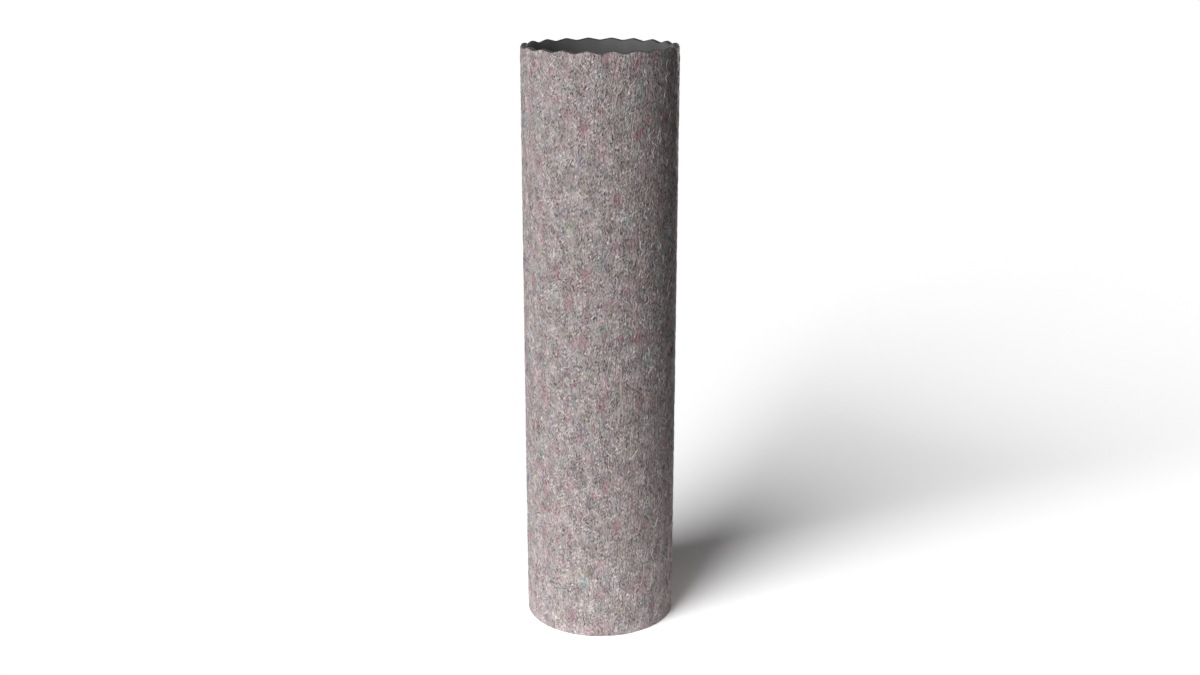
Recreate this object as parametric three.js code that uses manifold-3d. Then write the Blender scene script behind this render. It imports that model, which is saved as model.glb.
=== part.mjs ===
// Roll of felt: a strip of recycled-fibre felt with a thick dark backing, rolled once into an open
// tube that stands on its flat lower edge. The felt's two ends meet edge to edge at the back and the
// backing's at the front, so no gap goes right through the wall. The upper edge is cut in a row of
// shallow scallops.
// Units are millimetres, +Z is up, the front is -Y, and the origin is the centre of the roll's foot.
import * as THREE from "three";
import { mergeVertices } from "three/addons/utils/BufferGeometryUtils.js";
import Module from "manifold-3d";

// Driving dimensions
const ROLL_HEIGHT = 1000; // floor to the mean line of the scalloped edge
const ROLL_RADIUS = 130; // outside of the felt
const FELT_THICKNESS = 3;
const BACKING_THICKNESS = 6;
const BOND_GAP = 0.3; // between the felt and its backing
const SEAM_GAP = 0.8; // between the two ends of a layer
const SCALLOP_COUNT = 20;
const SCALLOP_DEPTH = 3.8; // crest to notch
const SCALLOP_SHARPNESS = 0.93; // near 0 the edge is a sine wave, and at 1 a zigzag
const DEPTH_WANDER = 0.12; // share by which the scallops' depth varies round the edge
const WANDER_WAVES = 3; // slow waves of that variation in one turn
const RIM_DROP = 1.4; // how far the rounded edge falls from the middle of the wall to either face

// How finely the shapes are drawn
const STEPS_PER_SCALLOP = 10;
const RIM_STEPS = 4; // across one layer's cut edge

// Sizes that follow
const FELT_INSIDE = ROLL_RADIUS - FELT_THICKNESS;
const BACKING_OUTSIDE = FELT_INSIDE - BOND_GAP;
const ROLL_BORE = BACKING_OUTSIDE - BACKING_THICKNESS;
const WALL_MIDDLE = (ROLL_RADIUS + ROLL_BORE) / 2;
const WALL_HALF = (ROLL_RADIUS - ROLL_BORE) / 2;
const FELT_SEAM = Math.PI / 2; // the back, +Y
const BACKING_SEAM = -Math.PI / 2; // the front, -Y

const wasm = await Module();
wasm.setup();

// Height of the cut edge above its mean line, at an angle about the roll's axis. The front, the
// back and both sides of the roll stand at a notch.
function scallopHeight(angle) {
  const swing = Math.asin(SCALLOP_SHARPNESS * Math.cos(SCALLOP_COUNT * angle)) / Math.asin(SCALLOP_SHARPNESS);
  const wander = 1 + DEPTH_WANDER * Math.sin(WANDER_WAVES * angle);
  return (-SCALLOP_DEPTH / 2) * swing * wander;
}

// Height of the rounded rim at a radius, before the scallops are cut.
function rimHeight(radius) {
  const offset = (radius - WALL_MIDDLE) / WALL_HALF;
  return ROLL_HEIGHT - RIM_DROP * offset * offset;
}

// Upright section of one layer of the wall, from the foot up its outer face, over the rim and down.
function layerSection(inside, outside) {
  const section = [new THREE.Vector2(outside, 0)];
  for (let step = 0; step <= RIM_STEPS; step++) {
    const radius = THREE.MathUtils.lerp(outside, inside, step / RIM_STEPS);
    section.push(new THREE.Vector2(radius, rimHeight(radius)));
  }
  section.push(new THREE.Vector2(inside, 0), new THREE.Vector2(outside, 0));
  return section;
}

// One layer as a closed tube whose upper edge follows the scallops.
function layerTube(inside, outside) {
  const tube = new THREE.LatheGeometry(layerSection(inside, outside), SCALLOP_COUNT * STEPS_PER_SCALLOP);
  tube.rotateX(Math.PI / 2);
  const place = tube.getAttribute("position");
  for (let i = 0; i < place.count; i++) {
    if (place.getZ(i) < ROLL_HEIGHT / 2) continue;
    const angle = Math.atan2(place.getY(i), place.getX(i));
    place.setZ(i, place.getZ(i) + scallopHeight(angle));
  }
  return tube;
}

// A closed geometry as a solid that can be cut.
function toSolid(geometry) {
  const bare = geometry.clone();
  bare.deleteAttribute("normal");
  bare.deleteAttribute("uv");
  const closed = mergeVertices(bare, 1e-3);
  return new wasm.Manifold(
    new wasm.Mesh({
      numProp: 3,
      vertProperties: new Float32Array(closed.getAttribute("position").array),
      triVerts: new Uint32Array(closed.index.array),
    }),
  );
}

// A cut solid as a geometry again.
function toGeometry(solid) {
  const { vertProperties, triVerts } = solid.getMesh();
  const geometry = new THREE.BufferGeometry();
  geometry.setAttribute("position", new THREE.BufferAttribute(vertProperties, 3));
  geometry.setIndex(new THREE.BufferAttribute(triVerts, 1));
  geometry.computeVertexNormals();
  return geometry;
}

// The narrow upright slot that parts a layer's two ends, at an angle about the roll's axis.
function seamSlot(angle) {
  const reach = 4 * WALL_HALF;
  const slot = new THREE.BoxGeometry(reach, SEAM_GAP, 2 * ROLL_HEIGHT);
  slot.translate(WALL_MIDDLE, 0, ROLL_HEIGHT / 2);
  slot.rotateZ(angle);
  return slot;
}

// One layer of the rolled strip, as a named mesh.
function rolledLayer(name, inside, outside, seam, material) {
  const strip = toSolid(layerTube(inside, outside)).subtract(toSolid(seamSlot(seam)));
  const mesh = new THREE.Mesh(toGeometry(strip), material);
  mesh.name = name;
  return mesh;
}

const feltMaterial = new THREE.MeshStandardMaterial({ color: "#a39a99", roughness: 1, metalness: 0 });
const backingMaterial = new THREE.MeshStandardMaterial({ color: "#4b4b4c", roughness: 0.8, metalness: 0 });

const roll = new THREE.Group();
roll.add(rolledLayer("felt_strip", FELT_INSIDE, ROLL_RADIUS, FELT_SEAM, feltMaterial));
roll.add(rolledLayer("backing_strip", ROLL_BORE, BACKING_OUTSIDE, BACKING_SEAM, backingMaterial));

export default roll;
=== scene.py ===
"""A standing roll of recycled needle felt on a dark foam rubber backing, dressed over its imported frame."""

from __future__ import annotations

import logging
import math
from dataclasses import dataclass, field
from enum import Enum

import bpy
import numpy as np
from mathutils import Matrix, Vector

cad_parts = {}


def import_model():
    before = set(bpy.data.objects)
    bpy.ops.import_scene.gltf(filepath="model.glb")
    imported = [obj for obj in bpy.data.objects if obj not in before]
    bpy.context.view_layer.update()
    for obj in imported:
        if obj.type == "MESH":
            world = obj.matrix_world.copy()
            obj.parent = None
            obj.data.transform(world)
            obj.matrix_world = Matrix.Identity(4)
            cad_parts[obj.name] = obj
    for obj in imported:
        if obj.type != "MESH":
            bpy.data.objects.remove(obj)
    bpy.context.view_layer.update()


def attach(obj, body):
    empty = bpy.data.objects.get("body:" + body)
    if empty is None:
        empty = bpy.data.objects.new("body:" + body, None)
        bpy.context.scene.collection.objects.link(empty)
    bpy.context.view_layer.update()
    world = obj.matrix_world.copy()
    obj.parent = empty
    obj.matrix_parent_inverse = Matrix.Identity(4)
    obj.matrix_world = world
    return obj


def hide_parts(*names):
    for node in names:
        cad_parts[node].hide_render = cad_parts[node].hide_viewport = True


log = logging.getLogger("roll_of_felt")

MM = 0.001
BODY = "root"
CIRCLE_STEPS = 96

# Maps of a rolled strip: the strip laid flat, in metres, and one laid out for baking its textures
RUN_MAP = "felt_run"
BAKE_MAP = "OFBake"

# Named attributes: where a strip is cut, and what each fibre is given when it is strewn
CUT_MARK = "cut_edge"
TONE_MARK = "fibre_tone"
ROOT_MARK = "fibre_root"
DRAW_MARK = "fibre_draw"
SHIFT_MARK = "fibre_shift"

# Places of a Mix node's sockets, because its colours and its values share their names
COLOUR_A, COLOUR_B, COLOUR_OUT = 6, 7, 2
VALUE_A, VALUE_B = 2, 3


class Tone(Enum):
    """Colours of the fibres, the backing and the studio, as sRGB hex values."""

    GROUND = "968d8d"
    SHADE = "4a4243"
    TAUPE = "9e9491"
    MAUVE = "ada0a3"
    ROSE = "b9a2a7"
    SLATE = "86898b"
    MIST = "a8abaa"
    PALE = "d6cdcc"
    CHALK = "f4f0ee"
    SOOT = "262224"
    RED = "a84e69"
    PINK = "bc8797"
    TEAL = "86bdb8"
    GREEN = "98b795"
    BLUE = "6b708c"
    OCHRE = "aa9f83"
    COOL_TINT = "e9eced"
    PLAIN_TINT = "f0eeee"
    PINK_TINT = "f4eaec"
    STRAW_TINT = "f0ede7"
    # the felt's cut edges, darker than the felt partly as painted shade on the thin top edge
    CUT_FELT_PAINTED_SHADE = "4f4847"
    BACKING = "414142"
    BACKING_WORN = "4a4a4b"
    # the backing's cut edges, near black partly as cut foam and partly as painted shade on the rim
    BACKING_CUT_PAINTED_SHADE = "181819"
    STUDIO_WHITE = "ffffff"


class Side(Enum):
    """The four sides of a strip's section, in the order that its outline meets them."""

    FACE = "outer face"
    RIM = "top cut"
    LINING = "inner face"
    FOOT = "lower cut"


Tree = bpy.types.NodeTree
Socket = bpy.types.NodeSocket
Span = tuple[float, float]
Stops = tuple[tuple[float, Tone], ...]
Surface = tuple[tuple[str, float], ...]
Point = tuple[float, float, float]


def linear(tone: Tone) -> tuple[float, float, float, float]:
    """Turns an sRGB hex value into a linear colour.

    Args:
        tone: The named colour.

    Returns:
        Red, green, blue and an alpha of 1, in linear light.
    """
    parts = [int(tone.value[i : i + 2], 16) / 255 for i in (0, 2, 4)]
    red, green, blue = (p / 12.92 if p <= 0.04045 else ((p + 0.055) / 1.055) ** 2.4 for p in parts)
    return red, green, blue, 1.0


def add_node(
    tree: Tree,
    kind: str,
    inputs: dict[str | int, object] | None = None,
    out: str | int = 0,
    stops: Stops = (),
    **settings: object,
) -> Socket | None:
    """Adds a node, sets it up and links it.

    Args:
        tree: The node tree that takes the node.
        kind: Blender's name for the node.
        inputs: Values or output sockets, by the name or place of the input that they go to.
        out: The output that the caller wants.
        stops: The colours of a node with a colour ramp, and where each starts.
        **settings: The node's own settings, and a ramp's where the node has none of that name.

    Returns:
        The wanted output socket, or None for a node with no outputs.
    """
    node = tree.nodes.new(kind)
    for name, value in settings.items():
        setattr(node if hasattr(node, name) else node.color_ramp, name, value)
    for place, value in (inputs or {}).items():
        if isinstance(value, bpy.types.NodeSocket):
            tree.links.new(value, node.inputs[place])
        else:
            node.inputs[place].default_value = value
    for _ in stops[2:]:
        node.color_ramp.elements.new(1.0)
    for number, (start, tone) in enumerate(stops):
        node.color_ramp.elements[number].position = start
        node.color_ramp.elements[number].color = linear(tone)
    return node.outputs[out] if node.outputs else None


def new_material(name: str, surface: Surface) -> tuple[bpy.types.Material, bpy.types.Node]:
    """Starts a material.

    Args:
        name: What the material is.
        surface: The shader's inputs that are the same all over, with their values.

    Returns:
        The material and its shader.
    """
    material = bpy.data.materials.new(name)
    material.use_nodes = True
    shader = material.node_tree.nodes["Principled BSDF"]
    for place, value in surface:
        shader.inputs[place].default_value = value
    return material, shader


@dataclass(frozen=True)
class FibreLayer:
    """One lay of fibres in the felt, with the darkest and the palest of their colours."""

    lean_deg: float
    width_mm: float
    length_mm: float
    low: Tone
    high: Tone
    level: float  # the noise that a place needs to hold a fibre
    body: float  # how well a fibre covers what lies under it
    rise: float  # how far it stands up, or sinks in below 0, as a share of the relief


@dataclass(frozen=True)
class RagScatter:
    """How one size of rag bit is strewn, in cells that hold one bit or none."""

    cell_mm: float
    tall: float  # the cell's height, in widths
    rarity: float  # the share of cells that hold none
    reach: float  # the bit's radius, in cells
    body: float  # how well the bit covers the felt at its middle


@dataclass(frozen=True)
class FeltFinish:
    """Needle felt of torn rags: matt, with a tangle of short fibres in greys and mauves.

    The fibres are drawn 1 to 2 mm wide, far coarser than real ones, because finer ones would not show.
    """

    name: str = "needle_felt_recycled"
    surface: Surface = (
        ("Diffuse Roughness", 0.1),
        ("Roughness", 0.7),
        ("Specular IOR Level", 0.2),
        ("Sheen Weight", 0.05),
        ("Sheen Roughness", 0.5),
    )
    detail: float = 2.0
    fibre_detail: float = 1.5
    ridge_detail: float = 1.0
    noise_span: Span = (0.36, 0.64)  # where most of a noise's values lie
    bend_mm: float = 13.0
    bend_by_mm: float = 5.0
    cluster_mm: Span = (15.0, 26.0)
    cluster_shares: Span = (0.05, 1.4)
    lay_offset: Span = (0.37, 0.61)  # metres from one lay's noise to the next one's
    soft_edge: Span = (-0.04, 0.05)
    ground_height: float = 0.5
    ridge_mm: Span = (3.6, 14.0)
    ridge_rise: float = 3.2
    relief_mm: float = 0.85
    relief_strength: float = 0.9
    patch_mm: Span = (22.0, 33.0)
    patch_span: Span = (0.3, 0.7)
    shades: Span = (1.0, 1.35)
    strand_heights: Span = (1.2, 3.2)
    strand_least: float = 0.2
    layers: tuple[FibreLayer, ...] = (
        FibreLayer(12, 2.2, 11.0, Tone.SHADE, Tone.GROUND, 0.50, 0.9, -0.5),
        FibreLayer(-32, 1.6, 11.0, Tone.TAUPE, Tone.MAUVE, 0.52, 0.8, 0.5),
        FibreLayer(46, 1.5, 8.5, Tone.SLATE, Tone.MIST, 0.59, 0.75, 0.5),
        FibreLayer(9, 1.4, 11.0, Tone.MAUVE, Tone.ROSE, 0.56, 0.8, 0.7),
        FibreLayer(-20, 1.45, 4.6, Tone.SOOT, Tone.SHADE, 0.565, 1.0, -1.1),
        FibreLayer(-40, 1.15, 7.0, Tone.PALE, Tone.CHALK, 0.585, 0.85, 0.9),
        FibreLayer(25, 1.05, 8.5, Tone.PALE, Tone.CHALK, 0.595, 0.9, 1.0),
    )
    tints: Stops = (
        (0.34, Tone.COOL_TINT),
        (0.42, Tone.PLAIN_TINT),
        (0.50, Tone.PINK_TINT),
        (0.58, Tone.PLAIN_TINT),
        (0.66, Tone.STRAW_TINT),
    )
    rags: Stops = (
        (0.0, Tone.PINK),
        (0.50, Tone.RED),
        (0.72, Tone.BLUE),
        (0.77, Tone.TEAL),
        (0.85, Tone.GREEN),
        (0.91, Tone.OCHRE),
    )
    scatters: tuple[RagScatter, ...] = (
        RagScatter(28.0, 2.0, 0.45, 0.46, 0.42),
        RagScatter(12.0, 1.8, 0.925, 0.24, 0.95),
    )

    def build(self) -> bpy.types.Material:
        """Builds the material.

        Returns:
            The finished felt.
        """
        material, shader = new_material(self.name, self.surface)
        tree = material.node_tree
        run = add_node(tree, "ShaderNodeUVMap", uv_map=RUN_MAP)
        bent = self._bent(tree, run)
        colour, height = self._lay(tree, bent)
        colour = self._patches(tree, run, colour)
        for scatter in self.scatters:
            colour = self._rags(tree, bent, colour, height, scatter)
        # Painted shade: the cut rim and foot take a dark colour, partly standing in for the shade on the
        # thin top edge
        cut = add_node(tree, "ShaderNodeAttribute", out="Fac", attribute_name=CUT_MARK)
        mix = {"Factor": cut, COLOUR_A: colour, COLOUR_B: linear(Tone.CUT_FELT_PAINTED_SHADE)}
        colour = add_node(tree, "ShaderNodeMix", mix, COLOUR_OUT, data_type="RGBA")
        relief = {"Strength": self.relief_strength, "Distance": self.relief_mm * MM, "Height": height}
        normal = add_node(tree, "ShaderNodeBump", relief)
        tree.links.new(colour, shader.inputs["Base Color"])
        tree.links.new(normal, shader.inputs["Normal"])
        return material

    def _bent(self, tree: Tree, run: Socket) -> Socket:
        """Bends the felt's own coordinates, so that fibres curl.

        Args:
            tree: The material's node tree.
            run: The place on the unrolled felt, in metres.

        Returns:
            The bent place.
        """
        scale = {"Vector": run, "Scale": 1 / (self.bend_mm * MM), "Detail": self.detail}
        noise = add_node(tree, "ShaderNodeTexNoise", scale, "Color", noise_dimensions="2D")
        centred = {0: noise, 1: (0.5, 0.5, 0.5)}
        centred = add_node(tree, "ShaderNodeVectorMath", centred, operation="SUBTRACT")
        reach = {0: centred, "Scale": self.bend_by_mm * MM}
        reach = add_node(tree, "ShaderNodeVectorMath", reach, operation="SCALE")
        return add_node(tree, "ShaderNodeVectorMath", {0: run, 1: reach})

    def _streaks(
        self, tree: Tree, place: Socket, size_mm: Span, detail: float, lean_deg: float = 0.0, lay: int = 0
    ) -> bpy.types.NodeOutputs:
        """Draws soft streaks of a real size.

        Args:
            tree: The material's node tree.
            place: The place on the felt, in metres.
            size_mm: The streaks' width and length.
            detail: How finely they break up.
            lean_deg: How far they lean from upright.
            lay: The number of their lay, which sets them apart from the other lays'.

        Returns:
            The streaks' outputs, as one value and as the three channels of a colour.
        """
        wide, long = size_mm
        aside, along = self.lay_offset
        turn = {
            "Vector": place,
            "Location": (aside * lay, along * lay, 0.0),
            "Rotation": (0.0, 0.0, math.radians(lean_deg)),
            "Scale": (wide * MM, long * MM, 1.0),
        }
        place = add_node(tree, "ShaderNodeMapping", turn, vector_type="TEXTURE")
        scale = {"Vector": place, "Scale": 1.0, "Detail": detail}
        return add_node(tree, "ShaderNodeTexNoise", scale, noise_dimensions="2D").node.outputs

    def _lay(self, tree: Tree, bent: Socket) -> tuple[Socket, Socket]:
        """Lays the fibres over each other.

        Args:
            tree: The material's node tree.
            bent: The bent place on the felt.

        Returns:
            The colour and the height of the tangle.
        """
        low, high = self.noise_span
        thin, thick = self.cluster_shares
        noise = self._streaks(tree, bent, self.cluster_mm, self.detail)["Color"]
        clusters = []
        for channel in add_node(tree, "ShaderNodeSeparateColor", {"Color": noise}).node.outputs:
            span = {"Value": channel, "From Min": low, "From Max": high, "To Min": thin, "To Max": thick}
            clusters.append(add_node(tree, "ShaderNodeMapRange", span))
        colour: object = linear(Tone.GROUND)
        height: object = self.ground_height
        for number, layer in enumerate(self.layers):
            size = (layer.width_mm, layer.length_mm)
            noise = self._streaks(tree, bent, size, self.fibre_detail, layer.lean_deg, number)["Color"]
            shows = add_node(tree, "ShaderNodeSeparateColor", {"Color": noise}, "Red")
            pick = shows.node.outputs["Green"]
            none, full = (layer.level + part for part in self.soft_edge)
            span = {"Value": shows, "From Min": none, "From Max": full}
            mask = add_node(tree, "ShaderNodeMapRange", span, interpolation_type="SMOOTHSTEP")
            share = {0: mask, 1: clusters[number % len(clusters)]}
            mask = add_node(tree, "ShaderNodeMath", share, operation="MULTIPLY", use_clamp=True)
            stops = ((low, layer.low), (high, layer.high))
            tones = add_node(tree, "ShaderNodeValToRGB", {"Fac": pick}, "Color", stops)
            body = add_node(tree, "ShaderNodeMath", {0: mask, 1: layer.body}, operation="MULTIPLY")
            mix = {"Factor": body, COLOUR_A: colour, COLOUR_B: tones}
            colour = add_node(tree, "ShaderNodeMix", mix, COLOUR_OUT, data_type="RGBA")
            rise = {0: mask, 1: layer.rise, 2: height}
            height = add_node(tree, "ShaderNodeMath", rise, operation="MULTIPLY_ADD")
        ridges = self._streaks(tree, bent, self.ridge_mm, self.ridge_detail)["Fac"]
        rise = {0: ridges, 1: self.ridge_rise, 2: height}
        return colour, add_node(tree, "ShaderNodeMath", rise, operation="MULTIPLY_ADD")

    def _patches(self, tree: Tree, run: Socket, colour: Socket) -> Socket:
        """Shifts the felt slowly between warm, cool and dark patches.

        Args:
            tree: The material's node tree.
            run: The place on the unrolled felt.
            colour: The tangle's colour.

        Returns:
            The colour with its patches.
        """
        noise = self._streaks(tree, run, self.patch_mm, self.detail)["Color"]
        lots = add_node(tree, "ShaderNodeSeparateColor", {"Color": noise}).node.outputs
        tint = add_node(tree, "ShaderNodeValToRGB", {"Fac": lots["Red"]}, "Color", self.tints)
        mix = {"Factor": 1.0, COLOUR_A: colour, COLOUR_B: tint}
        tinted = add_node(tree, "ShaderNodeMix", mix, COLOUR_OUT, data_type="RGBA", blend_type="MULTIPLY")
        low, high = self.patch_span
        dark, bright = self.shades
        span = {"Value": lots["Green"], "From Min": low, "From Max": high, "To Min": dark, "To Max": bright}
        shade = add_node(tree, "ShaderNodeMapRange", span)
        return add_node(tree, "ShaderNodeVectorMath", {0: tinted, "Scale": shade}, operation="SCALE")

    def _rags(
        self, tree: Tree, bent: Socket, colour: Socket, height: Socket, scatter: RagScatter
    ) -> Socket:
        """Scatters bits of coloured rag.

        Args:
            tree: The material's node tree.
            bent: The bent place on the felt.
            colour: The felt's colour so far.
            height: The height of the tangle, which breaks the bits into strands.
            scatter: How the bits are strewn.

        Returns:
            The colour with the bits on it.
        """
        cell = scatter.cell_mm * MM
        stretch = {"Vector": bent, "Scale": (cell, scatter.tall * cell, 1.0)}
        place = add_node(tree, "ShaderNodeMapping", stretch, vector_type="TEXTURE")
        cells = {"Vector": place, "Scale": 1.0}
        far = add_node(tree, "ShaderNodeTexVoronoi", cells, "Distance", voronoi_dimensions="2D")
        lots = add_node(tree, "ShaderNodeSeparateColor", {"Color": far.node.outputs["Color"]}).node.outputs
        chosen = {0: lots["Red"], 1: scatter.rarity}
        chosen = add_node(tree, "ShaderNodeMath", chosen, operation="GREATER_THAN")
        span = {"Value": far, "From Min": scatter.reach, "From Max": 0.0, "To Max": scatter.body}
        near = add_node(tree, "ShaderNodeMapRange", span, interpolation_type="SMOOTHSTEP")
        low, high = self.strand_heights
        span = {"Value": height, "From Min": low, "From Max": high, "To Min": self.strand_least}
        strands = add_node(tree, "ShaderNodeMapRange", span, interpolation_type="SMOOTHSTEP")
        near = add_node(tree, "ShaderNodeMath", {0: near, 1: strands}, operation="MULTIPLY")
        share = add_node(tree, "ShaderNodeMath", {0: near, 1: chosen}, operation="MULTIPLY")
        pick = {"Fac": lots["Green"]}
        rag = add_node(tree, "ShaderNodeValToRGB", pick, "Color", self.rags, interpolation="CONSTANT")
        mix = {"Factor": share, COLOUR_A: colour, COLOUR_B: rag}
        return add_node(tree, "ShaderNodeMix", mix, COLOUR_OUT, data_type="RGBA")


@dataclass(frozen=True)
class BackingFinish:
    """Foam rubber sheet: smooth, dark grey and dusty with a fine grain, near black where it is cut, partly
    as cut foam and partly as painted shade on the rim.
    """

    name: str = "foam_rubber_dark"
    surface: Surface = (("IOR", 1.5), ("Diffuse Roughness", 1.0))
    cloud_mm: float = 55.0
    cloud_detail: float = 4.0
    worn_span: Span = (0.35, 0.75)
    grain_mm: float = 1.2
    grain_detail: float = 2.0
    roughness: Span = (0.6, 0.8)
    cut_roughness: float = 1.0
    relief_mm: float = 0.05
    relief_strength: float = 0.4

    def build(self) -> bpy.types.Material:
        """Builds the material.

        Returns:
            The finished foam rubber.
        """
        material, shader = new_material(self.name, self.surface)
        tree = material.node_tree
        run = add_node(tree, "ShaderNodeUVMap", uv_map=RUN_MAP)
        cloud, grain = (
            add_node(
                tree,
                "ShaderNodeTexNoise",
                {"Vector": run, "Scale": 1 / (size * MM), "Detail": detail},
                noise_dimensions="2D",
            )
            for size, detail in ((self.cloud_mm, self.cloud_detail), (self.grain_mm, self.grain_detail))
        )
        stops = tuple(zip(self.worn_span, (Tone.BACKING, Tone.BACKING_WORN)))
        colour = add_node(tree, "ShaderNodeValToRGB", {"Fac": cloud}, "Color", stops)
        # Painted shade: the cut rim and foot are partly darkened to stand in for shade on the rim
        cut = add_node(tree, "ShaderNodeAttribute", out="Fac", attribute_name=CUT_MARK)
        mix = {"Factor": cut, COLOUR_A: colour, COLOUR_B: linear(Tone.BACKING_CUT_PAINTED_SHADE)}
        colour = add_node(tree, "ShaderNodeMix", mix, COLOUR_OUT, data_type="RGBA")
        relief = {"Strength": self.relief_strength, "Distance": self.relief_mm * MM, "Height": grain}
        normal = add_node(tree, "ShaderNodeBump", relief)
        low, high = self.roughness
        rough = add_node(tree, "ShaderNodeMapRange", {"Value": grain, "To Min": low, "To Max": high})
        mix = {"Factor": cut, VALUE_A: rough, VALUE_B: self.cut_roughness}
        rough = add_node(tree, "ShaderNodeMix", mix, data_type="FLOAT")
        tree.links.new(colour, shader.inputs["Base Color"])
        tree.links.new(rough, shader.inputs["Roughness"])
        tree.links.new(normal, shader.inputs["Normal"])
        return material


@dataclass(frozen=True)
class FibreFinish:
    """Loose textile fibre: matt and slightly downy, each strand in one of a family of colours."""

    name: str
    stops: Stops
    surface: Surface = (("Roughness", 0.85), ("Specular IOR Level", 0.25), ("Sheen Weight", 0.1))

    def build(self) -> bpy.types.Material:
        """Builds the material.

        Returns:
            The finished fibre.
        """
        material, shader = new_material(self.name, self.surface)
        tree = material.node_tree
        tone = add_node(tree, "ShaderNodeAttribute", out="Fac", attribute_name=TONE_MARK)
        pick = {"Fac": tone}
        colour = add_node(tree, "ShaderNodeValToRGB", pick, "Color", self.stops, interpolation="CONSTANT")
        tree.links.new(colour, shader.inputs["Base Color"])
        return material


@dataclass(frozen=True)
class RollForm:
    """The roll's driving sizes, in metres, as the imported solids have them."""

    height: float = 1000 * MM
    radius: float = 130 * MM
    felt: float = 3 * MM
    backing: float = 6 * MM
    bond_gap: float = 0.3 * MM
    seam_gap: float = 0.8 * MM
    scallops: int = 20
    scallop_depth: float = 3.8 * MM
    scallop_sharpness: float = 0.93
    depth_wander: float = 0.12
    wander_waves: int = 3
    rim_drop: float = 1.4 * MM

    @property
    def bore(self) -> float:
        """The radius of the hollow."""
        return self.radius - self.felt - self.bond_gap - self.backing

    def top(self, radius: float, angle: np.ndarray) -> np.ndarray:
        """Gives the height of the scalloped rim.

        Args:
            radius: The distance from the roll's axis.
            angle: The angles round the axis, from +X.

        Returns:
            The rim's height at each angle.
        """
        middle = (self.radius + self.bore) / 2
        half = (self.radius - self.bore) / 2
        crown = self.height - self.rim_drop * ((radius - middle) / half) ** 2
        wave = np.arcsin(self.scallop_sharpness * np.cos(self.scallops * angle))
        wander = 1 + self.depth_wander * np.sin(self.wander_waves * angle)
        return crown - self.scallop_depth / 2 * wave / math.asin(self.scallop_sharpness) * wander


@dataclass(frozen=True)
class OutlinePoint:
    """A point of a strip's section, by its distance from the roll's axis."""

    radius: float
    share: float  # its place between the foot, at 0, and the rim, at 1
    inset: float = 0.0  # how far it keeps off the foot and the rim, or 0 on a cut edge

    @property
    def cut(self) -> bool:
        """Whether the point lies on a cut edge."""
        return self.inset == 0.0

    def height(self, rim: np.ndarray) -> np.ndarray:
        """Gives the point's height under each height of the rim."""
        return (1 - self.share) * self.inset + self.share * (rim - self.inset)


def soft_lumps(along: np.ndarray, up: np.ndarray, lengths: Span, seed: int, waves: int = 48) -> np.ndarray:
    """Gives a soft uneven surface.

    Args:
        along: Places along the strip, in metres.
        up: Places up the strip, in metres.
        lengths: The shortest and the longest wave, in metres.
        seed: The seed of the waves.
        waves: How many waves cross each other.

    Returns:
        A height at each place, mostly between -1 and 1.
    """
    draw = np.random.default_rng(seed)
    total = np.zeros(np.broadcast(along, up).shape)
    for _ in range(waves):
        turn = 2 * math.pi / draw.uniform(*lengths)
        angle = draw.uniform(0, math.pi)
        start = draw.uniform(0, 2 * math.pi)
        total += np.sin(turn * (math.cos(angle) * along + math.sin(angle) * up) + start)
    return total / math.sqrt(waves)


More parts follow.
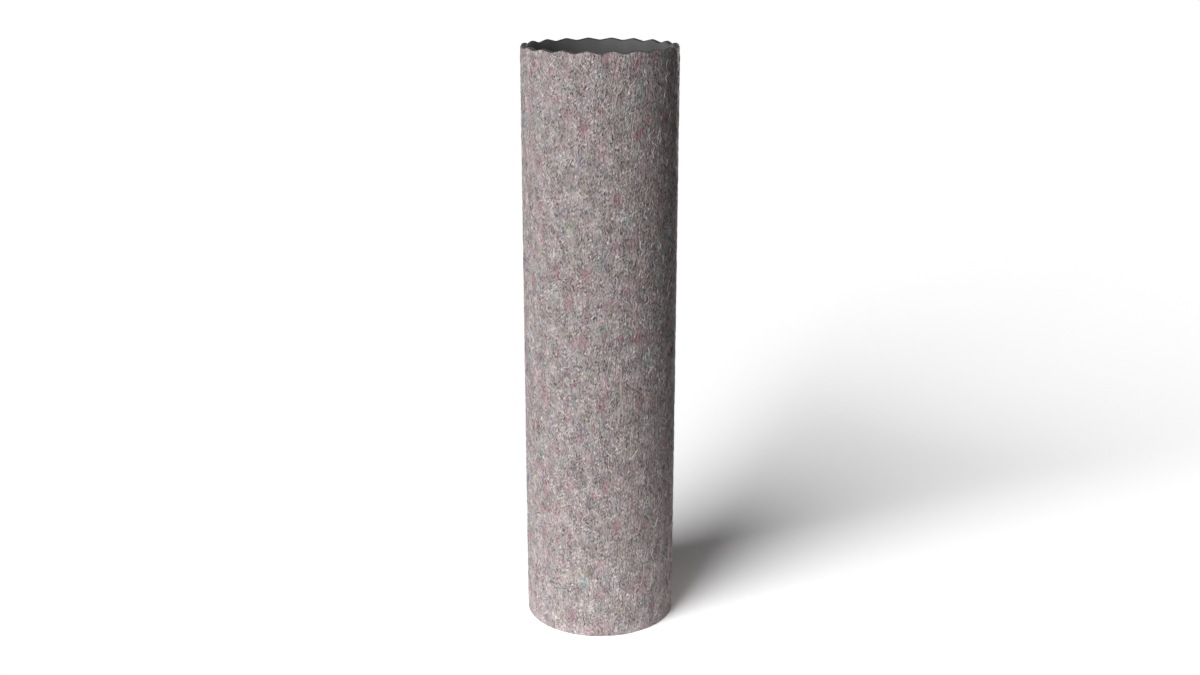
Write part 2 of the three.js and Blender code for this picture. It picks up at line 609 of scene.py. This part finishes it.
@dataclass
class RolledStrip:
    """A strip of sheet wound once round the roll's axis, as one closed mesh with its ends butted.

    The main side is the one that shows. It has the lumps, and dips a little towards the strip's two ends.
    On the bake map the main side, the rim, the other side, the foot and the two ends each have a band.
    """

    form: RollForm
    name: str
    node: str
    slot: str
    main_side: Side
    columns: int
    face_rows: int
    lining_rows: int
    lump: float
    lump_waves: Span
    seed: int = 3
    seam_angle: float = math.pi / 2
    edge_round: float = 0.5 * MM
    rim_shares: tuple[float, ...] = (0.08, 0.2, 0.4, 0.6, 0.8, 0.92)
    foot_shares: tuple[float, ...] = (0.9, 0.5, 0.1)
    end_columns_mm: tuple[float, ...] = (0.0, 0.5, 1.1, 1.8, 2.6)
    end_skip: int = 2  # even columns that make room for the ones at an end
    end_dip: float = 0.7 * MM
    end_reach: float = 2.2 * MM
    lump_fade: float = 6 * MM
    side_bands: tuple[Span, ...] = ((0.004, 0.93), (0.94, 0.952), (0.96, 0.975), (0.982, 0.988))
    end_bands: tuple[Span, ...] = ((0.990, 0.994), (0.995, 0.999))
    bake_margin: float = 0.004
    outer: float = field(init=False)
    inner: float = field(init=False)
    piece: bpy.types.Object | None = None

    @property
    def thickness(self) -> float:
        """The strip's thickness."""
        return self.outer - self.inner

    @property
    def flat(self) -> Span:
        """The strip's size before it was rolled, as width and length."""
        return self.form.height, math.pi * (self.outer + self.inner) - self.form.seam_gap

    def angles(self) -> np.ndarray:
        """Gives the columns' angles, closer together near the two ends.

        Returns:
            Angles round the axis, from one end of the strip to the other.
        """
        middle = (self.outer + self.inner) / 2
        start = self.seam_angle + self.form.seam_gap / 2 / middle
        sweep = 2 * math.pi - self.form.seam_gap / middle
        close = np.array(self.end_columns_mm) * MM / middle / sweep
        even = np.linspace(0, 1, self.columns)[self.end_skip : -self.end_skip]
        return start + sweep * np.concatenate([close, even, 1 - close[::-1]])

    def outline(self) -> tuple[list[OutlinePoint], list[Side]]:
        """Lays out the section, up the outer face, over the rim, down the inner face and under the foot.

        Returns:
            The points in order, and the side that each point's edge to the next one lies on.
        """
        climb = np.linspace(0, 1, self.face_rows + 1)
        fall = np.linspace(1, 0, self.lining_rows + 1)
        face = [OutlinePoint(self.outer, share, self.edge_round) for share in climb]
        rim = [OutlinePoint(self.outer - part * self.thickness, 1.0) for part in self.rim_shares]
        lining = [OutlinePoint(self.inner, share, self.edge_round) for share in fall]
        foot = [OutlinePoint(self.outer - part * self.thickness, 0.0) for part in self.foot_shares]
        sides = [Side.FACE] * self.face_rows + [Side.RIM] * (len(rim) + 1)
        sides += [Side.LINING] * self.lining_rows + [Side.FOOT] * (len(foot) + 1)
        return [*face, *rim, *lining, *foot], sides

    def build(self, material: bpy.types.Material) -> bpy.types.Object:
        """Builds the strip, dresses it and puts it in its node's place.

        Args:
            material: The strip's finish.

        Returns:
            The finished piece.
        """
        mesh = self._mesh()
        mesh.materials.append(material)
        self.piece = bpy.data.objects.new(self.name, mesh)
        bpy.context.scene.collection.objects.link(self.piece)
        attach(self.piece, BODY)
        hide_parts(self.node)
        return self.piece

    def _mesh(self) -> bpy.types.Mesh:
        """Makes the closed mesh with its two maps and the mark on its cut edges.

        Returns:
            The mesh, in the row frame.
        """
        points, sides = self.outline()
        angle = self.angles()
        radius, up = self._places(points, angle)
        count = len(points)
        turn = angle[:, None]
        places = np.stack([radius * np.cos(turn), radius * np.sin(turn), up], axis=-1)
        column, row = np.meshgrid(np.arange(len(angle) - 1), np.arange(count), indexing="ij")
        after = (row + 1) % count
        corners = [(column, row), (column + 1, row), (column + 1, after), (column, after)]
        quads = np.stack([c * count + r for c, r in corners], axis=-1).reshape(-1, 4)
        first = list(range(count))
        last = [(len(angle) - 1) * count + r for r in reversed(range(count))]
        mesh = bpy.data.meshes.new(self.name)
        mesh.from_pydata(places.reshape(-1, 3).tolist(), [], [*quads.tolist(), first, last])
        smooth = np.ones(len(mesh.polygons), dtype=bool)
        smooth[-2:] = False  # the strip's two ends
        mesh.polygons.foreach_set("use_smooth", smooth)
        along = self.outer * (angle - angle[0])
        for name, mapped in zip((RUN_MAP, BAKE_MAP), self._maps(corners, sides, along, radius, up)):
            layer = mesh.uv_layers.new(name=name)
            layer.uv.foreach_set("vector", mapped.astype(np.float32).ravel())
        cut = np.array([point.cut for point in points], dtype=np.float32)
        mark = mesh.attributes.new(CUT_MARK, "FLOAT", "POINT")
        mark.data.foreach_set("value", np.tile(cut, len(angle)))
        mesh.validate()
        return mesh

    def _places(self, points: list[OutlinePoint], angle: np.ndarray) -> tuple[np.ndarray, np.ndarray]:
        """Places the section at every column, with the main side's lumps and its softened ends.

        Args:
            points: The section's points.
            angle: The columns' angles.

        Returns:
            Each vertex's distance from the axis, and its height.
        """
        up = np.stack([p.height(self.form.top(p.radius, angle)) for p in points], axis=1)
        radius = np.tile([p.radius for p in points], (len(angle), 1)).astype(float)
        along = self.outer * (angle - angle[0])[:, None]
        end = np.minimum(along, along[-1, 0] - along)
        main, outward = (self.outer, 1.0) if self.main_side is Side.FACE else (self.inner, -1.0)
        rows = [number for number, point in enumerate(points) if point.radius == main]
        edge = np.minimum(up[:, rows], self.form.height - up[:, rows])
        fade = np.clip(edge / self.lump_fade, 0, 1)
        lumps = self.lump * soft_lumps(along, up[:, rows], self.lump_waves, self.seed)
        dip = self.end_dip * np.clip(1 - end / self.end_reach, 0, 1) ** 2
        radius[:, rows] += outward * (lumps * fade - dip)
        return radius, up

    def _maps(
        self,
        corners: list[tuple[np.ndarray, np.ndarray]],
        sides: list[Side],
        along: np.ndarray,
        radius: np.ndarray,
        up: np.ndarray,
    ) -> tuple[np.ndarray, np.ndarray]:
        """Maps the strip's four sides and its two ends.

        Args:
            corners: Each quad corner's column and row.
            sides: The side of each row's edge.
            along: The columns' places along the strip.
            radius: Each vertex's distance from the axis.
            up: Each vertex's height.

        Returns:
            The places on the strip laid flat, in metres, and the places on the bake map.
        """
        code = np.array([list(Side).index(side) for side in sides])[corners[0][1]]
        high = float(up.max())
        main, rim, other, foot = self.side_bands
        bands = (main, rim, other, foot) if self.main_side is Side.FACE else (other, rim, main, foot)
        low = np.choose(code, [start for start, _ in bands])
        reach = np.choose(code, [stop - start for start, stop in bands])
        room = 1 - 2 * self.bake_margin
        run = []
        bake = []
        for column, row in corners:
            r = radius[column, row]
            z = up[column, row]
            u = along[column]
            inward = (self.outer - r) / self.thickness
            rise = [z, z + self.outer - r, 2 * high + self.thickness - z, r - self.outer]
            share = np.clip(np.choose(code, [z / high, inward, 1 - z / high, inward]), 0, 1)
            run.append(np.stack([u, np.choose(code, rise)], axis=-1))
            bake.append(np.stack([self.bake_margin + room * u / along[-1], low + reach * share], axis=-1))
        run, bake = ([np.stack(quads, axis=-2).reshape(-1, 2)] for quads in (run, bake))
        for place, order, (start, stop) in zip((0, -1), (1, -1), self.end_bands):
            r = radius[place][::order]
            z = up[place][::order]
            depth = np.clip((r - self.inner) / self.thickness, 0, 1)
            run.append(np.stack([along[place] + r - self.outer, z], axis=-1))
            bake.append(np.stack([z / high, start + (stop - start) * depth], axis=-1))
        return np.concatenate(run), np.concatenate(bake)


@dataclass
class FeltStrip(RolledStrip):
    """The felt, face outwards, slightly uneven as felt is."""

    name: str = "felt_sheet"
    node: str = "felt_strip"
    slot: str = "felt"
    main_side: Side = Side.FACE
    columns: int = 320
    face_rows: int = 236
    lining_rows: int = 10
    lump: float = 0.12 * MM
    lump_waves: Span = (9 * MM, 45 * MM)

    def __post_init__(self) -> None:
        """Takes the strip's place from the roll."""
        self.outer = self.form.radius
        self.inner = self.form.radius - self.form.felt


@dataclass
class BackingStrip(RolledStrip):
    """The foam rubber backing, which shows on the inside and along the rim."""

    name: str = "backing_sheet"
    node: str = "backing_strip"
    slot: str = "backing"
    main_side: Side = Side.LINING
    columns: int = 320
    face_rows: int = 8
    lining_rows: int = 60
    lump: float = 0.12 * MM
    lump_waves: Span = (40 * MM, 160 * MM)
    seed: int = 11
    seam_angle: float = -math.pi / 2

    def __post_init__(self) -> None:
        """Takes the strip's place from the roll."""
        self.outer = self.form.radius - self.form.felt - self.form.bond_gap
        self.inner = self.form.bore


def circle(radius: float, height: float = 0.0) -> list[Point]:
    """Gives the corners of a level circle round the roll's axis.

    Args:
        radius: The circle's radius, in metres.
        height: Its height above the floor, in metres.

    Returns:
        The corners in order, from +X.
    """
    turns = [2 * math.pi * step / CIRCLE_STEPS for step in range(CIRCLE_STEPS)]
    return [(radius * math.cos(turn), radius * math.sin(turn), height) for turn in turns]


def band_faces() -> list[tuple[int, int, int, int]]:
    """Gives the faces that join one circle to the next one in a mesh.

    Returns:
        The faces, which look outwards where the second circle is higher, and up where it is smaller.
    """
    pairs = [(step, (step + 1) % CIRCLE_STEPS) for step in range(CIRCLE_STEPS)]
    return [(step, after, CIRCLE_STEPS + after, CIRCLE_STEPS + step) for step, after in pairs]


@dataclass
class LooseFibres:
    """Fibres that stand a little out of the felt, laid by a node tree that follows its face."""

    form: RollForm
    name: str
    finish: FibreFinish
    seed: int
    density: float  # fibres, or tufts of them, on a square metre
    shortest: float
    longest: float
    thickness: float
    lean: float  # the furthest from upright, in radians
    curl: float  # the swing to either side, as a share of the length
    lift: float  # how far a fibre's middle stands out
    strands: int = 1  # in a tuft
    spread: float = 0.0  # a tuft's reach to either side
    joints: int = 6
    margin: float = 18 * MM  # bare felt along the rim and the foot
    piece: bpy.types.Object | None = field(default=None, repr=False)

    def build(self, tree: bpy.types.GeometryNodeTree) -> bpy.types.Object:
        """Lays the fibres and turns them into one plain mesh.

        Args:
            tree: The node tree that lays fibres.

        Returns:
            The finished piece.
        """
        host = bpy.data.objects.new(self.name, self._bearing())
        bpy.context.scene.collection.objects.link(host)
        modifier = host.modifiers.new("fibres", "NODES")
        modifier.node_group = tree
        # The tree's sizes are named for the fields that they come from
        wanted = {name.capitalize(): value for name, value in vars(self).items()}
        wanted |= {"Radius": self.form.radius, "Material": self.finish.build()}
        for item in tree.interface.items_tree:
            if item.in_out == "INPUT" and item.name in wanted:
                modifier[item.identifier] = wanted[item.name]
        shown = host.evaluated_get(bpy.context.evaluated_depsgraph_get())
        mesh = bpy.data.meshes.new_from_object(shown)
        host.modifiers.clear()
        host.data = mesh
        for mark in (ROOT_MARK, DRAW_MARK, SHIFT_MARK):
            mesh.attributes.remove(mesh.attributes[mark])
        self.piece = host
        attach(host, BODY)
        return host

    def _bearing(self) -> bpy.types.Mesh:
        """Makes the plain face that the fibres are scattered on, clear of the rim and the foot.

        Returns:
            An open tube at the felt's face.
        """
        low = circle(self.form.radius, self.margin)
        high = circle(self.form.radius, self.form.height - self.margin)
        mesh = bpy.data.meshes.new(self.name)
        mesh.from_pydata([*low, *high], [], band_faces())
        return mesh


@dataclass(frozen=True)
class FibreTree:
    """Builds the node tree that scatters fibres, curls them and wraps them round the roll.

    A fibre swings in two waves at once, across its length and a little along it. Its middle stands out
    of the felt and its tips sink in, and it tapers from near its middle to its tips.
    """

    name: str = "felt_fibres"
    floats: tuple[str, ...] = (
        "Density", "Spread", "Shortest", "Longest", "Thickness", "Lean", "Curl", "Lift", "Radius",
    )
    counts: tuple[str, ...] = ("Seed", "Strands", "Joints")
    shift_seed: int = 31
    draw_seed: int = 57
    curl_waves: Point = (7.0, 10.0, 0.0)
    curl_starts: Point = (2 * math.pi, 6 * math.pi, 0.0)
    curl_reach: Point = (1.0, 0.5, 0.0)
    tuft_shape: Point = (1.0, 1.6, 0.0)
    strand_sides: int = 3
    tip_lift: float = -0.6
    taper_from: float = 0.2
    tip_thickness: float = 0.35

    def build(self) -> bpy.types.GeometryNodeTree:
        """Builds the tree.

        Returns:
            The tree, with a named input for each size.
        """
        tree = bpy.data.node_groups.new(self.name, "GeometryNodeTree")
        sizes = {**dict.fromkeys(self.floats, "Float"), **dict.fromkeys(self.counts, "Int")}
        for name, kind in {"Bearing": "Geometry", **sizes, "Material": "Material"}.items():
            tree.interface.new_socket(name, in_out="INPUT", socket_type=f"NodeSocket{kind}")
        tree.interface.new_socket("Fibres", in_out="OUTPUT", socket_type="NodeSocketGeometry")
        sizes = add_node(tree, "NodeGroupInput").node.outputs
        strands = self._scatter(tree, sizes)
        step = add_node(tree, "GeometryNodeSplineParameter", out="Factor")
        middle = add_node(tree, "ShaderNodeMath", {0: step, 1: 0.5}, operation="SUBTRACT")
        place = self._place(tree, sizes, step, middle)
        laid = add_node(tree, "GeometryNodeSetPosition", {"Geometry": strands, "Position": place})
        ring = {"Resolution": self.strand_sides, "Radius": 0.5}
        ring = add_node(tree, "GeometryNodeCurvePrimitiveCircle", ring)
        thick = self._thickness(tree, sizes, middle)
        sweep = {"Curve": laid, "Profile Curve": ring, "Scale": thick, "Fill Caps": True}
        tubes = add_node(tree, "GeometryNodeCurveToMesh", sweep)
        smooth = add_node(tree, "GeometryNodeSetShadeSmooth", {"Geometry": tubes})
        plain = add_node(tree, "GeometryNodeRealizeInstances", {"Geometry": smooth})
        finish = {"Geometry": plain, "Material": sizes["Material"]}
        dressed = add_node(tree, "GeometryNodeSetMaterial", finish)
        add_node(tree, "NodeGroupOutput", {"Fibres": dressed})
        return tree

    def _scatter(self, tree: Tree, sizes: bpy.types.NodeOutputs) -> Socket:
        """Scatters the roots and puts a strand of its own on each.

        Args:
            tree: The node tree.
            sizes: The tree's inputs.

        Returns:
            The strands, not yet laid.
        """
        dots = {"Mesh": sizes["Bearing"], "Density": sizes["Density"], "Seed": sizes["Seed"]}
        points = add_node(tree, "GeometryNodeDistributePointsOnFaces", dots)
        index = add_node(tree, "GeometryNodeInputIndex")
        tone = add_node(tree, "FunctionNodeRandomValue", {"ID": index, "Seed": sizes["Seed"]}, 1)
        spot = add_node(tree, "GeometryNodeInputPosition")
        shift, draw = (
            add_node(
                tree,
                "FunctionNodeRandomValue",
                {0: (low,) * 3, "ID": index, "Seed": seed},
                data_type="FLOAT_VECTOR",
            )
            for low, seed in ((-1.0, self.shift_seed), (0.0, self.draw_seed))
        )
        for name, value, kind in ((TONE_MARK, tone, "FLOAT"), (ROOT_MARK, spot, "FLOAT_VECTOR")):
            store = {"Geometry": points, "Name": name, "Value": value}
            points = add_node(tree, "GeometryNodeStoreNamedAttribute", store, data_type=kind)
        many = {"Geometry": points, "Amount": sizes["Strands"]}
        points = add_node(tree, "GeometryNodeDuplicateElements", many, domain="POINT")
        for name, value in ((SHIFT_MARK, shift), (DRAW_MARK, draw)):
            store = {"Geometry": points, "Name": name, "Value": value}
            points = add_node(tree, "GeometryNodeStoreNamedAttribute", store, data_type="FLOAT_VECTOR")
        # Any line will do, because each of its joints is placed afresh
        line = add_node(tree, "GeometryNodeCurvePrimitiveLine")
        line = add_node(tree, "GeometryNodeResampleCurve", {"Curve": line, "Count": sizes["Joints"]})
        strands = add_node(tree, "GeometryNodeInstanceOnPoints", {"Points": points, "Instance": line})
        return add_node(tree, "GeometryNodeRealizeInstances", {"Geometry": strands})

    def _place(self, tree: Tree, sizes: bpy.types.NodeOutputs, step: Socket, middle: Socket) -> Socket:
        """Works out where each joint of a strand lies on the roll.

        Args:
            tree: The node tree.
            sizes: The tree's inputs.
            step: How far along its strand a joint is, from 0 to 1.
            middle: How far past its strand's middle the joint is, from -0.5 to 0.5.

        Returns:
            The joint's place in the row frame.
        """
        root, draw, shift = (
            add_node(tree, "GeometryNodeInputNamedAttribute", {"Name": name}, data_type="FLOAT_VECTOR")
            for name in (ROOT_MARK, DRAW_MARK, SHIFT_MARK)
        )
        lots = add_node(tree, "ShaderNodeSeparateXYZ", {0: draw}).node.outputs
        span = {"Value": lots["X"], "To Min": sizes["Shortest"], "To Max": sizes["Longest"]}
        length = add_node(tree, "ShaderNodeMapRange", span)
        span = {"Value": lots["Y"], "To Min": -1.0, "To Max": 1.0}
        side = add_node(tree, "ShaderNodeMapRange", span)
        lean = add_node(tree, "ShaderNodeMath", {0: side, 1: sizes["Lean"]}, operation="MULTIPLY")
        turned = {"Vector": (0.0, 1.0, 0.0), "Axis": (0.0, 0.0, 1.0), "Angle": lean}
        heading = add_node(tree, "ShaderNodeVectorRotate", turned, rotation_type="AXIS_ANGLE")
        along = add_node(tree, "ShaderNodeMath", {0: middle, 1: length}, operation="MULTIPLY")
        spine = add_node(tree, "ShaderNodeVectorMath", {0: heading, "Scale": along}, operation="SCALE")
        start = {0: self.curl_starts, "Scale": lots["Z"]}
        start = add_node(tree, "ShaderNodeVectorMath", start, operation="SCALE")
        swing = {0: self.curl_waves, 1: step, 2: start}
        swing = add_node(tree, "ShaderNodeVectorMath", swing, operation="MULTIPLY_ADD")
        swing = add_node(tree, "ShaderNodeVectorMath", {0: swing}, operation="SINE")
        swing = add_node(tree, "ShaderNodeVectorMath", {0: swing, 1: self.curl_reach}, operation="MULTIPLY")
        reach = add_node(tree, "ShaderNodeMath", {0: length, 1: sizes["Curl"]}, operation="MULTIPLY")
        swing = add_node(tree, "ShaderNodeVectorMath", {0: swing, "Scale": reach}, operation="SCALE")
        aside = add_node(tree, "ShaderNodeVectorMath", {0: shift, 1: self.tuft_shape}, operation="MULTIPLY")
        aside = {0: aside, "Scale": sizes["Spread"]}
        aside = add_node(tree, "ShaderNodeVectorMath", aside, operation="SCALE")
        place = add_node(tree, "ShaderNodeVectorMath", {0: spine, 1: swing})
        place = add_node(tree, "ShaderNodeVectorMath", {0: place, 1: aside})
        place = add_node(tree, "ShaderNodeSeparateXYZ", {0: place}).node.outputs
        turn = add_node(tree, "ShaderNodeMath", {0: place["X"], 1: sizes["Radius"]}, operation="DIVIDE")
        arch = add_node(tree, "ShaderNodeMath", {0: middle, 1: middle}, operation="MULTIPLY")
        span = {"Value": arch, "From Max": 0.5**2, "To Min": 1.0, "To Max": self.tip_lift}
        arch = add_node(tree, "ShaderNodeMapRange", span)
        out = {0: arch, 1: sizes["Lift"], 2: sizes["Radius"]}
        out = add_node(tree, "ShaderNodeMath", out, operation="MULTIPLY_ADD")
        level = add_node(tree, "ShaderNodeVectorMath", {0: root, 1: (1.0, 1.0, 0.0)}, operation="MULTIPLY")
        outward = add_node(tree, "ShaderNodeVectorMath", {0: level}, operation="NORMALIZE")
        spin = {"Vector": outward, "Axis": (0.0, 0.0, 1.0), "Angle": turn}
        outward = add_node(tree, "ShaderNodeVectorRotate", spin, rotation_type="AXIS_ANGLE")
        wall = add_node(tree, "ShaderNodeVectorMath", {0: outward, "Scale": out}, operation="SCALE")
        height = add_node(tree, "ShaderNodeSeparateXYZ", {0: root}, "Z")
        height = add_node(tree, "ShaderNodeMath", {0: height, 1: place["Y"]})
        rise = add_node(tree, "ShaderNodeCombineXYZ", {"Z": height})
        return add_node(tree, "ShaderNodeVectorMath", {0: wall, 1: rise})

    def _thickness(self, tree: Tree, sizes: bpy.types.NodeOutputs, middle: Socket) -> Socket:
        """Thins each strand towards its ends.

        Args:
            tree: The node tree.
            sizes: The tree's inputs.
            middle: How far past its strand's middle a joint is, from -0.5 to 0.5.

        Returns:
            The strand's thickness at the joint.
        """
        away = add_node(tree, "ShaderNodeMath", {0: middle}, operation="ABSOLUTE")
        ends = {
            "Value": away,
            "From Min": self.taper_from,
            "From Max": 0.5,
            "To Min": 1.0,
            "To Max": self.tip_thickness,
        }
        taper = add_node(tree, "ShaderNodeMapRange", ends)
        return add_node(tree, "ShaderNodeMath", {0: taper, 1: sizes["Thickness"]}, operation="MULTIPLY")


@dataclass(frozen=True)
class SoftLight:
    """A broad soft light, by the side and height that it shines from as the camera sees the roll."""

    name: str
    left_deg: float
    height_deg: float
    spread_deg: float
    power: float

    def hang(self) -> None:
        """Hangs the light."""
        lamp = bpy.data.lights.new(self.name, "SUN")
        lamp.energy = self.power
        lamp.angle = math.radians(self.spread_deg)
        side = math.radians(self.left_deg)
        height = math.radians(self.height_deg)
        level = math.cos(height)
        beam = Vector((math.sin(side) * level, math.cos(side) * level, -math.sin(height)))
        light = bpy.data.objects.new(self.name, lamp)
        light.rotation_euler = beam.to_track_quat("-Z", "Y").to_euler()
        bpy.context.scene.collection.objects.link(light)


@dataclass
class Studio:
    """A white floor, a broad soft light from the front left, two weaker ones and the camera."""

    aim: Point = (0.0, 0.0, 0.5034)
    distance: float = 2.4784
    elevation_deg: float = 16.505
    lens_mm: float = 43.088
    sensor_mm: float = 36.0
    sight: float = 500.0
    lights: tuple[SoftLight, ...] = (
        SoftLight("soft_key", 41.0, 26.0, 41.0, 3.85),
        SoftLight("low_fill", 20.0, 13.0, 36.0, 0.7),
        SoftLight("low_back", -162.0, 1.7, 3.0, 2.0),
    )
    room_light: float = 0.02
    room_gloss: float = 0.95
    near_floor: float = 0.58
    far_floor: float = 80.0
    floor_gain: float = 1.63  # paint brighter than real, so that the floor is white under the low lights

    def build(self) -> None:
        """Sets up the floor, the lights and the camera."""
        self._floor()
        self._lights()
        self._camera()

    def _floor(self) -> None:
        """Lays a disc that throws light back on the roll, and a wide ring round it that doesn't."""
        finish = bpy.data.materials.new("studio_floor_painted")
        finish.use_nodes = True
        tree = finish.node_tree
        tree.nodes.remove(tree.nodes["Principled BSDF"])
        white = [c * self.floor_gain for c in linear(Tone.STUDIO_WHITE)[:3]]
        paint = add_node(tree, "ShaderNodeBsdfDiffuse", {"Color": (*white, 1.0)})
        tree.links.new(paint, tree.nodes["Material Output"].inputs["Surface"])
        near = circle(self.near_floor)
        disc = (near, [range(CIRCLE_STEPS)])
        ring = ([*circle(self.far_floor), *near], band_faces())
        for name, (places, faces) in {"floor_near": disc, "floor_far": ring}.items():
            mesh = bpy.data.meshes.new(name)
            mesh.from_pydata(places, [], faces)
            mesh.materials.append(finish)
            floor = bpy.data.objects.new(name, mesh)
            bpy.context.scene.collection.objects.link(floor)
            floor.visible_diffuse = name == "floor_near"

    def _lights(self) -> None:
        """Hangs the lights, and gives the room a weak light, a brighter reflection and a white backdrop."""
        scene = bpy.context.scene
        for light in self.lights:
            light.hang()
        scene.world = bpy.data.worlds.new("studio_room")
        scene.world.use_nodes = True
        tree = scene.world.node_tree
        room = tree.nodes["Background"]
        room.inputs["Color"].default_value = linear(Tone.STUDIO_WHITE)
        ray = add_node(tree, "ShaderNodeLightPath").node.outputs
        span = {"Value": ray["Is Glossy Ray"], "To Min": self.room_light, "To Max": self.room_gloss}
        strength = add_node(tree, "ShaderNodeMapRange", span)
        strength = add_node(tree, "ShaderNodeMath", {0: strength, 1: ray["Is Camera Ray"]})
        tree.links.new(strength, room.inputs["Strength"])
        scene.view_settings.view_transform = "Standard"

    def _camera(self) -> None:
        """Stands the camera where the photograph was taken from."""
        scene = bpy.context.scene
        lens = bpy.data.cameras.new("camera")
        lens.sensor_width = self.sensor_mm
        lens.lens = self.lens_mm
        lens.clip_end = self.sight
        camera = bpy.data.objects.new("camera", lens)
        tilt = math.radians(self.elevation_deg)
        away = Vector((0.0, -math.cos(tilt), math.sin(tilt))) * self.distance
        camera.location = Vector(self.aim) + away
        camera.rotation_euler = (math.pi / 2 - tilt, 0.0, 0.0)
        scene.collection.objects.link(camera)
        scene.camera = camera


def loose_fibres(form: RollForm) -> list[LooseFibres]:
    """Lists the kinds of fibre that stand out of the felt.

    They are drawn 0.5 to 0.8 mm thick, thicker than real fibres, because finer ones would not show.

    Args:
        form: The roll's sizes.

    Returns:
        The kinds, each to be built as one piece.
    """
    pale = FibreFinish(
        "cotton_ends_pale", ((0.0, Tone.PALE), (0.45, Tone.CHALK), (0.7, Tone.MIST), (0.85, Tone.ROSE))
    )
    dark = FibreFinish(
        "wool_fibres_dark", ((0.0, Tone.SOOT), (0.35, Tone.SHADE), (0.65, Tone.SLATE), (0.85, Tone.MAUVE))
    )
    thread = FibreFinish("cotton_threads_white", ((0.0, Tone.CHALK), (0.7, Tone.PALE)))
    rags = FibreFinish("rag_tufts_dyed", FeltFinish().rags)
    return [
        LooseFibres(
            form, "pale_fibres", pale, seed=5, density=6800, shortest=6 * MM, longest=20 * MM,
            thickness=0.6 * MM, lean=1.0, curl=0.14, lift=0.32 * MM,
        ),
        LooseFibres(
            form, "cotton_threads", thread, seed=41, density=300, shortest=14 * MM, longest=32 * MM,
            thickness=0.8 * MM, lean=1.1, curl=0.13, lift=0.45 * MM, joints=11,
        ),
        LooseFibres(
            form, "dark_fibres", dark, seed=17, density=5600, shortest=4 * MM, longest=13 * MM,
            thickness=0.6 * MM, lean=1.0, curl=0.13, lift=0.3 * MM,
        ),
        LooseFibres(
            form, "rag_tufts", rags, seed=29, density=280, shortest=4 * MM, longest=12 * MM,
            thickness=0.5 * MM, lean=0.6, curl=0.12, lift=0.35 * MM, strands=10, spread=3.6 * MM, joints=5,
        ),
    ]


def main() -> None:
    """Builds the roll on its frame, piece by piece, and lights it."""
    logging.basicConfig(level=logging.INFO, format="%(name)s: %(message)s")
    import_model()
    form = RollForm()
    felt = FeltStrip(form)
    backing = BackingStrip(form)
    felt.build(FeltFinish().build())
    backing.build(BackingFinish().build())
    tree = FibreTree().build()
    fibres = loose_fibres(form)
    for kind in fibres:
        kind.build(tree)
    loose = [kind.piece for kind in fibres]
    for piece in (felt.piece, backing.piece, *loose):
        piece.data.calc_loop_triangles()
        log.info("%s: %d triangles", piece.name, len(piece.data.loop_triangles))
    Studio().build()
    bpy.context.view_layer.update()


if __name__ == "__main__":
    main()
